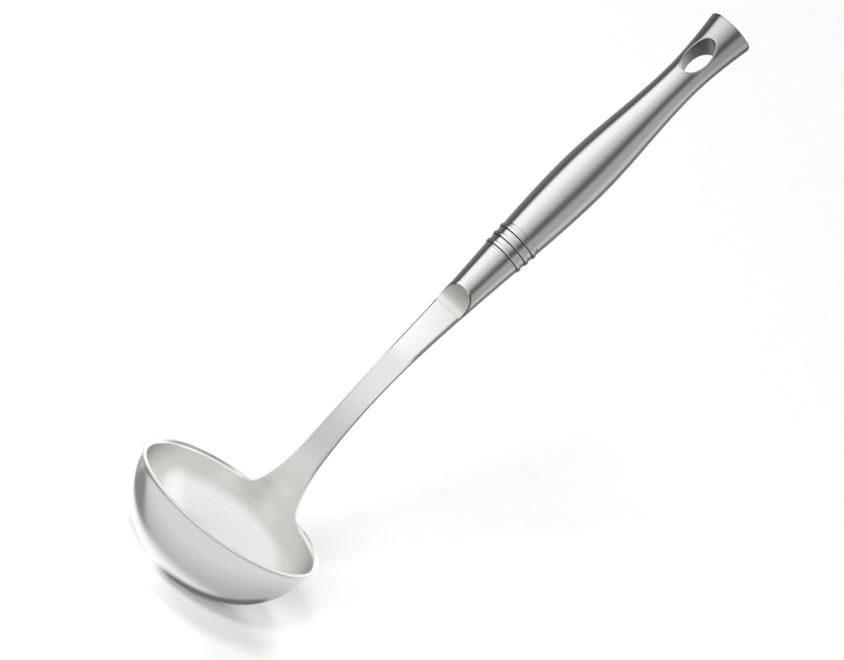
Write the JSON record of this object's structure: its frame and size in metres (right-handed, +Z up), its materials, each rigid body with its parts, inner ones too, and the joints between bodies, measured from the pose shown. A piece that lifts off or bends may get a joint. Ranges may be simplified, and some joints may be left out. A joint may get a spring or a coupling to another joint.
{
  "type": "soup ladle",
  "caption": "Soup ladle: deep round pressed bowl with a flat curved shank, a scalloped ferrule, a beaded ring and a round swelling hollow grip with an oval hanging eye.",
  "frame": {"origin": "centre of the small flat under the bowl, on which the ladle stands", "axes": "+Z up along the bowl's axis, +X from the bowl's axis towards the handle, which rises at 62 degrees; the ladle is symmetric about the plane y = 0"},
  "size_m": [0.2111, 0.0898, 0.3037],
  "materials": {
    "satin_steel": "satin",
    "brushed_steel": "brushed along the handle",
    "polished_steel": "polished",
    "drawn_steel": "drawn, smooth"
  },
  "bodies": {
    "root": {"bowl_and_shank": "satin_steel", "ferrule": "brushed_steel", "bead_ring": "polished_steel", "grip_tube": "brushed_steel", "eye_liner": "drawn_steel", "end_cap": "brushed_steel"}
  },
  "joints": []
}
